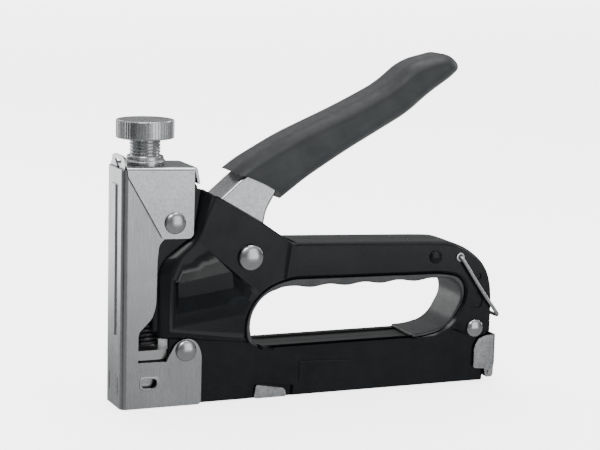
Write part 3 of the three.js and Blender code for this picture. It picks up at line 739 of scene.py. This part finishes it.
capSheet = {"half": 11.2, "wall": 0.9, "bend": 2.0, "front": 1.7, "rear": 28.9, "top": 96.0, "slope": 0.9}
capSide = [[30, 98], [28.9, 95.1], [28.7, 67.1, 2.3], [16.2, 67.4, 0.8], [1.7, 92.6], [1.7, 98]]
tabSide = [
    [27.5, 95.14], [30.6, 95, 1.2], [31.9, 88.2, 0.5], [31, 88.1, 0.3], [29.6, 94.1, 1], [27.5, 94.24],
]


def makeCap():
    half, top = capSheet["half"], capSheet["top"]
    front, rear = capSheet["front"], capSheet["rear"]
    points = [(-half, 60), (-half, top), (half, top), (half, 60)]
    piece = drawRun("topCap", [place(front, z, y) for y, z in points])
    for y, z in points[1:3]:
        spot = place(front, z, y)
        pick("VERT", lambda vert: (vert.co - spot).length < 0.002 * mm)
        bpy.ops.mesh.bevel(offset=capSheet["bend"] * mm, segments=6, affect="VERTICES")
    bpy.ops.mesh.select_mode(type="EDGE")
    bpy.ops.mesh.select_all(action="SELECT")
    bpy.ops.mesh.extrude_region_move(TRANSFORM_OT_translate={"value": ((rear - front) * mm, 0, 0)})
    bpy.ops.transform.translate(value=(0, 0, -capSheet["slope"] * mm))
    bpy.ops.mesh.select_all(action="SELECT")
    bpy.ops.mesh.normals_make_consistent(inside=False)
    bpy.ops.object.mode_set(mode="OBJECT")
    giveWall(piece, capSheet["wall"], even=True)
    useTool(piece, cutBlank("side", capSide, -20, 20), "INTERSECT")
    clearSelection()
    bpy.ops.mesh.primitive_cylinder_add(vertices=64, radius=7.6 * mm, depth=12 * mm, location=place(12.1, 94))
    useTool(piece, bpy.context.object)
    tab = cutBlank("tab", tabSide, -9.2, 9.2, arcSteps=5)
    useTool(piece, tab, "UNION")
    breakEdges(piece, 0.13, 2, 50)
    finishPiece(piece, "body", plateTurned, ["top_cap"])


makeCover()
makeCap()
print("nose and cap are made")


# ---- tension knob and its nut ----

knob = {
    "x": 12.1, "radius": 11.4, "low": 105.8, "high": 113.0, "teeth": 60, "facesPerTooth": 4, "rim": 0.8,
    "edge": 0.55, "groove": 0.955, "dishInset": 1.6, "dish": 0.25,
    "stem": 6.1, "foot": 87.4, "pitch": 1.25, "threadDepth": 0.55, "turns": 14,
}


def makeKnob():
    clearSelection()
    bpy.ops.mesh.primitive_cylinder_add(
        vertices=knob["teeth"] * knob["facesPerTooth"],
        radius=knob["radius"] * mm, depth=(knob["high"] - knob["low"]) * mm,
        location=place(knob["x"], (knob["high"] + knob["low"]) / 2))
    piece = bpy.context.object
    piece.name = "tensionKnob"
    bpy.ops.object.transform_apply(location=True, rotation=True, scale=True)
    centre = place(knob["x"], 0)
    bpy.ops.object.mode_set(mode="EDIT")
    pick("FACE", lambda face: abs(face.normal.z) > 0.9)
    bpy.ops.mesh.inset(thickness=knob["rim"] * mm)
    bpy.ops.transform.resize(value=(0.995, 0.995, 1), center_override=centre)
    high = place(0, knob["high"]).z

    def outerRing(vert):
        return math.hypot(vert.co.x - centre.x, vert.co.y) > (knob["radius"] - 0.1) * mm

    pick("EDGE", lambda edge: all(outerRing(vert) for vert in edge.verts)
         and abs(edge.verts[0].co.z - edge.verts[1].co.z) < 1e-6)
    bpy.ops.mesh.bevel(offset=knob["edge"] * mm, segments=3, affect="EDGES", clamp_overlap=False)
    step = 2 * math.pi / (knob["teeth"] * knob["facesPerTooth"])

    def inValley(vert):
        turn = math.atan2(vert.co.y, vert.co.x - centre.x)
        index = round(turn / step) % knob["facesPerTooth"]
        radius = math.hypot(vert.co.x - centre.x, vert.co.y)
        return index in (0, 1) and radius > (knob["radius"] - 0.62) * mm

    pick("VERT", inValley)
    bpy.ops.transform.resize(value=(knob["groove"], knob["groove"], 1), center_override=centre)
    pick("FACE", lambda face: face.normal.z > 0.95 and face.calc_center_median().z > high - 0.01 * mm
         and len(face.verts) > 20)
    bpy.ops.mesh.inset(thickness=knob["dishInset"] * mm)
    bpy.ops.transform.translate(value=(0, 0, -knob["dish"] * mm))
    bpy.ops.object.mode_set(mode="OBJECT")

    thread = drawRun("thread", [
        place(knob["x"] + knob["stem"] - knob["threadDepth"], knob["foot"]),
        place(knob["x"] + knob["stem"] - 0.1, knob["foot"] + 0.45),
        place(knob["x"] + knob["stem"], knob["foot"] + 0.625),
        place(knob["x"] + knob["stem"] - 0.1, knob["foot"] + 0.8),
        place(knob["x"] + knob["stem"] - knob["threadDepth"], knob["foot"] + knob["pitch"])])
    bpy.ops.object.mode_set(mode="OBJECT")
    bpy.context.scene.cursor.location = centre
    bpy.ops.object.origin_set(type="ORIGIN_CURSOR")
    bpy.context.scene.cursor.location = (0, 0, 0)
    change = thread.modifiers.new("thread", "SCREW")
    change.screw_offset = knob["pitch"] * mm
    change.iterations = knob["turns"]
    change.steps = change.render_steps = 48
    change.use_merge_vertices = True
    change.merge_threshold = 0.01 * mm
    change.use_smooth_shade = True
    bpy.ops.object.modifier_apply(modifier=change.name)
    bpy.ops.object.transform_apply(location=True, rotation=True, scale=True)
    clearSelection()
    bpy.ops.mesh.primitive_cylinder_add(
        vertices=48, radius=(knob["stem"] - 0.54) * mm, depth=(knob["low"] - knob["foot"] + 0.5) * mm,
        location=place(knob["x"], (knob["low"] + knob["foot"]) / 2 + 0.2))
    core = bpy.context.object
    bpy.ops.object.transform_apply(location=True, rotation=True, scale=True)
    joinPieces(piece, thread, core)
    finishPiece(piece, "knob", knurledPlate, ["tension_knob"], 35)


def makeNut():
    profile = [(6.4, 89.4), (7.3, 89.4), (7.3, 96.3), (7.9, 96.35), (8.1, 96.5), (8.1, 96.9), (7.9, 97.2),
               (7.45, 97.6), (7.2, 98.7), (7.05, 98.9), (6.55, 98.9), (6.4, 98.75), (6.4, 89.4)]
    piece = turnPiece("tensionNut", [place(knob["x"] + r, z) for r, z in profile],
                      place(knob["x"], 0), (0, 0, 1), 64)
    finishPiece(piece, "body", knurledPlate, ["tension_nut"])


makeKnob()
makeNut()
print("knob is made")


# ---- rivets ----

# Each rivet: piece, node, x, z, shank, head radius, half width between the heads, head height.
rivets = [
    ("capRivet", "cap_rivet", 21, 73.5, 2.5, 4.3, 11.2, 1.7),
    ("noseRivet", "nose_rivet", 26.6, 22.3, 2.5, 4.25, 10, 1.7),
    ("leverRivet", "lever_rivet", 52.8, 58.4, 3.2, 5.2, 11.5, 2.0),
    ("rearRivet", "rear_rivet", 153.6, 23.6, 2, 3.75, 11.5, 1.6),
    ("barRivet", "bar_rivet", 134.5, 54.6, 1.4, 2.75, 11.5, 0.9),
]


def makeRivet(name, node, x, z, shank, head, half, height):
    base = half + 0.3
    dome = []
    for step in range(9):
        turn = math.pi / 2 * step / 8
        dome.append((head * math.sin(turn), base + 0.15 + (height - 0.15) * math.cos(turn)))
    foot = base - (0.75 if node == "lever_rivet" else 0.2)
    dome += [(head, base - 0.1), (head - 0.2, foot), (shank, foot)]
    profile = [(r, y) for r, y in dome] + [(r, -y) for r, y in reversed(dome)]
    piece = turnPiece(name, [place(x + r, z, y) for r, y in profile], place(x, z), (0, 1, 0), 48)
    dark = node == "bar_rivet"
    finishPiece(piece, "body", paint if dark else platePolished, [node])


for rivet in rivets:
    makeRivet(*rivet)
print("rivets are made")


# ---- lever and sleeve ----

lever = {"half": 8.4, "wall": 1.1, "bend": 1.5}
sleeve = {"half": 11.2, "depth": 7.2, "inset": 5.4}
leverSide = [
    [36.2, 64, 1], [38.9, 80.5, 2], [50, 90, 3], [60, 97, 4], [77, 105], [94.6, 112.6], [110, 119.4, 3],
    [119, 126, 2], [121.5, 119.5, 2], [104, 107.8], [87, 98.6, 3], [70, 88, 2], [64.6, 83.8, 1],
    [60.4, 76.5, 2], [59.2, 70, 2], [61.6, 62, 2], [61.2, 52.5, 5], [50, 49.8, 4], [43.5, 52.5, 3],
]
armSide = [[54.5, 62.5, 2], [28.4, 53.8, 2.2], [26.8, 48.6, 2.2], [34, 47.4, 1.5], [55.5, 54.0, 2]]
sleeveSide = [
    [43, 90], [51.8, 96.4, 3], [68.7, 105.7, 5], [94.6, 116.8, 6], [112.2, 125.4, 5], [123.4, 134.6, 5],
    [139.6, 138.4, 6], [145.6, 132.4, 5], [141.4, 128.2, 5], [130.4, 121, 5], [121.6, 113.6, 5],
    [95.2, 99.2, 6], [77.8, 88.7, 5], [66, 80],
]
mouthSide = [[38, 96.5], [46.4, 92], [56.2, 88.6, 5], [65, 83.9, 2], [74, 68], [38, 68]]


def makeLever():
    rims = softBothRims(leverSide, lever["half"], lever["bend"], lever["bend"] * 0.8, 5)
    piece = loftSides("leverChannel", rims, 5)

    def opened(face):
        out = face.normal
        at = face.calc_center_median()
        web = -0.55 * out.x + 0.83 * out.z
        return abs(out.y) < 0.05 and web < 0.3 and abs(at.y) < (lever["half"] - lever["bend"] + 0.1) * mm

    deleteFaces(piece, opened)
    giveWall(piece, lever["wall"])
    arms = [cutBlank("arm", armSide, way * 4.7, way * 6.1, arcSteps=5) for way in (-1, 1)]
    for arm in arms:
        breakEdges(arm, 0.2)
    joinPieces(piece, *arms)
    finishPiece(piece, "lever", plateTurned, ["lever_channel"], 40)


def makeSleeve():
    rims = softBothRims(sleeveSide, sleeve["half"], sleeve["depth"], sleeve["inset"], 8)
    piece = loftSides("leverSleeve", rims, 6)
    useTool(piece, cutBlank("mouth", mouthSide, -20, 20, arcSteps=6))
    useTool(piece, cutBlank("core", grown(leverSide, 0.05), -8.5, 8.5, arcSteps=4))
    breakEdges(piece, 0.5, 3, 55)
    finishPiece(piece, "lever", vinyl, ["lever_sleeve"], 50)


makeLever()
makeSleeve()
print("lever and sleeve are made")


# ---- hand hole lining ----

def waveRun(startX, endX, z, depth, waves, steps):
    points = []
    for step in range(steps + 1):
        share = step / steps
        dip = depth * (1 - math.cos(2 * math.pi * waves * share))
        points.append([startX + (endX - startX) * share, z - dip])
    return points


liningInner = ([[63.5, 19], [54.6, 22.9, 4], [52.9, 33.5, 5], [58.8, 42.6, 4], [68, 45.6, 2]]
               + waveRun(72, 134, 45.6, 0.45, 4, 48)
               + [[144.6, 45.0, 5], [148.2, 37.2, 5], [141.2, 25.0, 6], [131, 22.7, 3],
                  [125.5, 22.6, 0.6], [125.5, 19]])


def makeLining():
    outer = grown(holeCorners, -0.3)
    piece = loftSides("gripInsert", softBothRims(outer, 11.0, 0.5, 0.4, 3), 6)
    wide, eased = grown(liningInner, 0.7), grown(liningInner, 0.3)
    oneSide = [(9.9, liningInner), (10.6, eased), (11.02, wide), (14, wide)]
    levels = [(-y, corners) for y, corners in reversed(oneSide)] + oneSide
    useTool(piece, loftSides("inside", levels, 5))
    for way in (-1, 1):
        corner = blockPiece("corner", (121.5, 18, way * 11 - 4), (129.5, 26, way * 11 + 4))
        takeUp(corner)
        hub = place(125.5, 22, way * 11)
        bpy.ops.transform.rotate(value=math.pi / 4, orient_axis="Z", center_override=hub)
        bpy.ops.transform.translate(value=(-4.6 * mm, way * 1.4 * mm, 0))
        useTool(piece, corner)
    finishPiece(piece, "body", plastic, ["grip_insert"], 40)


makeLining()
print("lining is made")


# ---- rear latch and bail ----

latchSide = [
    [154.8, 5.9, 1], [159.6, 5.6, 0.4], [160.2, 1.8, 0.8], [163.8, 1.8, 1.2],
    [164.0, 6.6, 0.5], [165.4, 9.0, 1], [165.4, 19.8], [157.4, 19.6, 3], [154.8, 15, 1.5],
]


def makeLatch():
    points = [(154.0, -10.5), (164.9, -10.5), (164.9, 10.5), (154.0, 10.5)]
    piece = foldPlan("rearLatch", points, (0, 1.6, 1.6, 0), 1.0, 20.5, 0.9, 5)
    useTool(piece, cutBlank("side", latchSide, -20, 20), "INTERSECT")
    useTool(piece, blockPiece("gap", (163, 0, -8.2), (166, 7.9, 8.2)))
    editPiece(piece)
    bpy.ops.mesh.select_all(action="SELECT")
    bpy.ops.mesh.bisect(plane_co=place(157.7, 0), plane_no=(1, 0, 0))
    pick("VERT", lambda vert: vert.co.x < place(157.5, 0).x and vert.co.y < 0)
    bpy.ops.transform.translate(value=(0, 0.55 * mm, 0))
    pick("VERT", lambda vert: vert.co.x < place(157.5, 0).x and vert.co.y > 0)
    bpy.ops.transform.translate(value=(0, -0.55 * mm, 0))
    bpy.ops.object.mode_set(mode="OBJECT")
    breakEdges(piece, 0.15, 2, 50)
    finishPiece(piece, "rear_latch", plateTurned, ["rear_latch"], 30)


bail = {"x": 145.8, "z": 54.0, "half": 13.2, "radius": 0.75, "endX": 164.1, "endZ": 28.4, "bend": 1.6}


def makeBail():
    along = Vector((bail["endX"] - bail["x"], bail["endZ"] - bail["z"])).normalized()
    side = [
        (bail["x"], bail["z"], 8.2), (bail["x"], bail["z"], bail["half"] - bail["bend"]),
        (bail["x"] + along.x * 0.5, bail["z"] + along.y * 0.5, bail["half"] - 0.3),
        (bail["x"] + along.x * 1.6, bail["z"] + along.y * 1.6, bail["half"]),
        (bail["endX"] - along.x * 14, bail["endZ"] - along.y * 14 - 0.8, bail["half"]),
        (bail["endX"] - along.x * 2.2, bail["endZ"] - along.y * 2.2, bail["half"]),
        (bail["endX"] - along.x * 0.4, bail["endZ"] - along.y * 0.4, bail["half"] - 0.7),
        (bail["endX"], bail["endZ"], bail["half"] - 2.6),
    ]
    route = [place(x, z, -y) for x, z, y in side] + [place(x, z, y) for x, z, y in reversed(side)]
    piece = layWire("bailWire", route, bail["radius"], 5, "NURBS")
    finishPiece(piece, "bail", platePolished, ["bail"], 60)


def makeEyelets():
    profile = [(0.85, 10.1), (1.6, 10.1), (1.5, 11.8), (1.8, 11.82), (1.9, 11.9), (1.84, 12.04), (1.6, 12.1),
               (1.3, 12.1), (0.95, 11.98), (0.85, 11.8), (0.85, 10.1)]
    for way, name, node in ((-1, "eyeletLeft", "bail_eyelet_left"), (1, "eyeletRight", "bail_eyelet_right")):
        piece = turnPiece(name, [place(bail["x"] + r, bail["z"], way * y) for r, y in profile],
                          place(bail["x"], bail["z"]), (0, 1, 0), 32)
        finishPiece(piece, "body", platePolished, [node])


makeLatch()
makeBail()
makeEyelets()
print("latch and bail are made")


# ---- main spring ----

spring = {
    "x": 12.1, "radius": 5.1, "wire": 0.85, "low": 22.9, "high": 84.2, "packed": 5, "closed": 2,
    "open": 8, "lower": 5, "lift": 14.7, "travel": 5.625, "stepsPerTurn": 28,
}


def makeSpring():
    low, high = spring["low"] + spring["wire"], spring["high"] - spring["wire"]
    pitch = spring["wire"] * 2 + 0.06
    closed = spring["closed"] * pitch
    packed = spring["packed"]
    turns = packed + spring["closed"] + spring["open"]
    perTurn = spring["stepsPerTurn"]
    route = []
    for step in range(turns * perTurn + 1):
        turn = step / perTurn
        if turn < packed:
            z = low + turn * pitch
        elif turn > turns - spring["closed"]:
            z = high - (turns - turn) * pitch
        else:
            share = (turn - packed) / spring["open"]
            z = low + packed * pitch + share * (high - low - closed - packed * pitch)
        angle = 2 * math.pi * turn
        across, aside = spring["radius"] * math.cos(angle), spring["radius"] * math.sin(angle)
        route.append(place(spring["x"] + across, z, aside))
    # The coil is laid as two pieces, cut where the packed and lower turns end.
    split = (packed + spring["lower"]) * perTurn
    for name, part in (("mainSpring", route[:split + 1]), ("mainSpringTop", route[split:])):
        piece = layWire(name, part, spring["wire"], 3, "POLY")
        finishPiece(piece, "body", springDark, ["main_spring"], 60)
    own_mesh(bpy.data.objects["mainSpring"])
    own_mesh(bpy.data.objects["mainSpringTop"])


makeSpring()
print("spring is made")


# ---- inner parts, in the shape of their CAD nodes ----

cadFinishes = {
    "chrome": plateUpright, "bright_steel": zincSteel, "spring_steel": springDark,
    "grip_plastic": plastic, "sleeve_rubber": vinyl, "black_paint": paint,
}
for part in frame["record"]["subparts"]:
    node = frame["nodes"][part["node"]]
    node.data.materials.clear()
    polished = part["node"] in ("magazine_channel", "guide_plate")
    node.data.materials.append(platePolished if polished else cadFinishes[part["material_slot"]])

newLow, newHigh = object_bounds()
for side, old, new in (("low", cadLow, newLow), ("high", cadHigh, newHigh)):
    print("box", side, [round((b - a) / mm, 2) for a, b in zip(old, new)])
